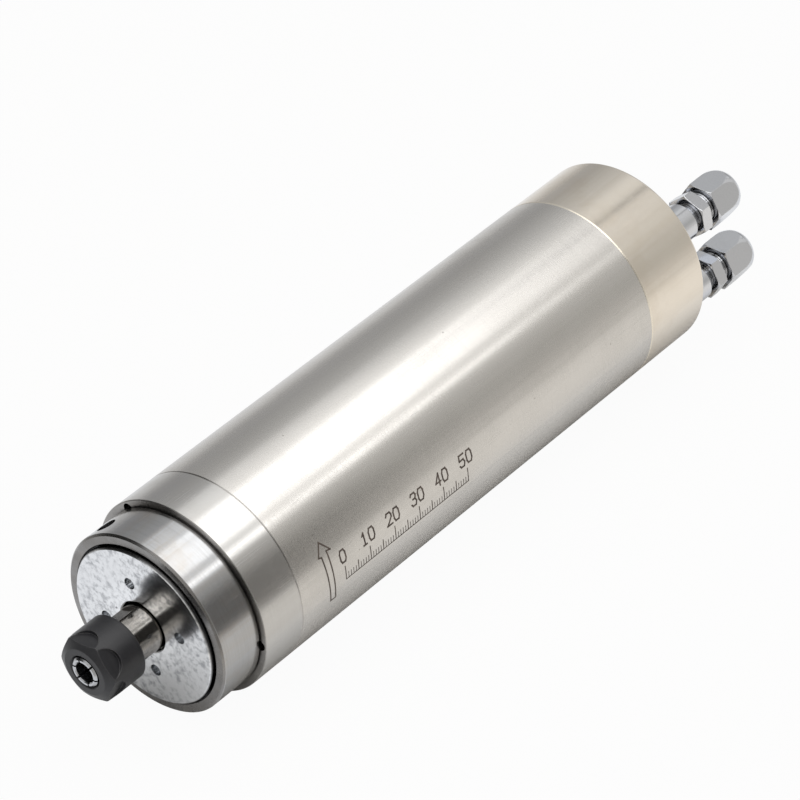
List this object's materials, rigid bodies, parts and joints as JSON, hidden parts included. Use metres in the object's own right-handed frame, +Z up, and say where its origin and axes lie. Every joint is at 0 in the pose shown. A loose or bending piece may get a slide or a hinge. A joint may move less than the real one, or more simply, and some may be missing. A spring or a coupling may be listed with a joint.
{
  "type": "water-cooled motor spindle",
  "caption": "Cylindrical water-cooled motor spindle with a collet nose, rear hose fittings and a round power socket.",
  "frame": {"origin": "on the spindle axis, at the middle of the plain casing", "axes": "+Y along the axis towards the rear cap and its fittings, so the collet nose points to -Y; +Z up"},
  "size_m": [0.058, 0.2539, 0.058],
  "materials": {
    "stainless": "satin stainless steel, fine turned marks",
    "stainless_front": "satin stainless steel",
    "nose_steel": "satin stainless steel with faint brown handling marks",
    "disc_aluminium": "turned aluminium, mottled",
    "aluminium": "plain machined aluminium",
    "rubber": "black nitrile rubber",
    "lamination": "stacked electrical steel",
    "copper": "enamelled copper wire, varnished",
    "spring_steel": "spring steel",
    "dark_steel": "hardened steel",
    "ground_steel": "ground hardened steel",
    "black_oxide": "black oxide on steel",
    "nickel_cap": "warm satin nickel plate",
    "black_screws": "black oxide screws",
    "wire_sheath": "silicone wire sheath",
    "chrome": "bright chrome plate",
    "black_plastic": "moulded black phenolic",
    "gold_pins": "gold-plated contact pins",
    "bearing_steel": "polished bearing steel",
    "cage_resin": "fabric-filled resin",
    "brass": "plain brass"
  },
  "bodies": {
    "housing": {"outer_casing": "stainless", "front_housing": "stainless_front", "nose_ring": "nose_steel", "dust_disc": "disc_aluminium", "water_jacket": "aluminium", "front_o_rings": "rubber", "rear_o_rings": "rubber", "stator_core": "lamination", "stator_windings": "copper", "preload_spring": "spring_steel", "rear_housing": "aluminium", "rear_cap": "nickel_cap", "cap_screws": "black_screws", "port_o_rings": "rubber", "wire_grommet": "rubber", "lead_wires": "wire_sheath", "socket_shell": "chrome", "socket_insert": "black_plastic", "socket_pins": "gold_pins", "socket_nut": "chrome", "socket_gasket": "rubber", "front_bearing_1_outer": "bearing_steel", "front_bearing_2_outer": "bearing_steel", "rear_bearing_outer": "bearing_steel", "fitting_body_1": "chrome", "fitting_washer_1": "rubber", "fitting_body_2": "chrome", "fitting_washer_2": "rubber"},
    "rotor": {"spindle_shaft": "ground_steel", "bearing_lock_nut": "dark_steel", "front_bearing_1_inner": "bearing_steel", "front_bearing_2_inner": "bearing_steel", "rear_bearing_inner": "bearing_steel", "rotor_core": "lamination", "rotor_cage": "aluminium", "shaft_retaining_ring": "spring_steel"},
    "front_cage_1": {"front_bearing_1_cage": "cage_resin", "front_bearing_1_balls": "bearing_steel"},
    "front_cage_2": {"front_bearing_2_cage": "cage_resin", "front_bearing_2_balls": "bearing_steel"},
    "rear_cage": {"rear_bearing_cage": "cage_resin", "rear_bearing_balls": "bearing_steel"},
    "collet": {"collet": "ground_steel"},
    "collet_nut": {"collet_nut": "black_oxide"},
    "hose_sleeve_1": {"fitting_sleeve_1": "brass"},
    "hose_nut_1": {"fitting_nut_1": "chrome"},
    "hose_sleeve_2": {"fitting_sleeve_2": "brass"},
    "hose_nut_2": {"fitting_nut_2": "chrome"}
  },
  "joints": [
    {"name": "spindle_spin", "type": "hinge", "parent": "housing", "child": "rotor", "pos_m": [0, 0, 0], "axis": [0, 1, 0], "continuous": true},
    {"name": "front_cage_1_spin", "type": "hinge", "parent": "housing", "child": "front_cage_1", "pos_m": [0, 0, 0], "axis": [0, 1, 0], "continuous": true},
    {"name": "front_cage_2_spin", "type": "hinge", "parent": "housing", "child": "front_cage_2", "pos_m": [0, 0, 0], "axis": [0, 1, 0], "continuous": true},
    {"name": "rear_cage_spin", "type": "hinge", "parent": "housing", "child": "rear_cage", "pos_m": [0, 0, 0], "axis": [0, 1, 0], "continuous": true},
    {"name": "collet_travel", "type": "slide", "parent": "rotor", "child": "collet", "axis": [0, -1, 0], "range_m": [0, 0.00675]},
    {"name": "collet_nut_turn", "type": "hinge", "parent": "collet", "child": "collet_nut", "pos_m": [0, 0, 0], "axis": [0, -1, 0], "range_deg": [0, 3240]},
    {"name": "hose_sleeve_1_travel", "type": "slide", "parent": "housing", "child": "hose_sleeve_1", "axis": [0, 1, 0], "range_m": [0, 0.0035]},
    {"name": "hose_nut_1_turn", "type": "hinge", "parent": "hose_sleeve_1", "child": "hose_nut_1", "pos_m": [0.01485, 0.11415, 0.01414], "axis": [0, 1, 0], "range_deg": [0, 1260]},
    {"name": "hose_sleeve_2_travel", "type": "slide", "parent": "housing", "child": "hose_sleeve_2", "axis": [0, 1, 0], "range_m": [0, 0.0035]},
    {"name": "hose_nut_2_turn", "type": "hinge", "parent": "hose_sleeve_2", "child": "hose_nut_2", "pos_m": [0.01954, 0.11615, -0.0062], "axis": [0, 1, 0], "range_deg": [0, 1260]}
  ],
  "couplings": [
    {"joint": "front_cage_1_spin", "follows": "spindle_spin", "ratio": 0.4021},
    {"joint": "front_cage_2_spin", "follows": "spindle_spin", "ratio": 0.4021},
    {"joint": "rear_cage_spin", "follows": "spindle_spin", "ratio": 0.3756},
    {"joint": "collet_nut_turn", "follows": "collet_travel", "rad_per_m": 8377.6},
    {"joint": "hose_nut_1_turn", "follows": "hose_sleeve_1_travel", "rad_per_m": 6283.2},
    {"joint": "hose_nut_2_turn", "follows": "hose_sleeve_2_travel", "rad_per_m": 6283.2}
  ]
}
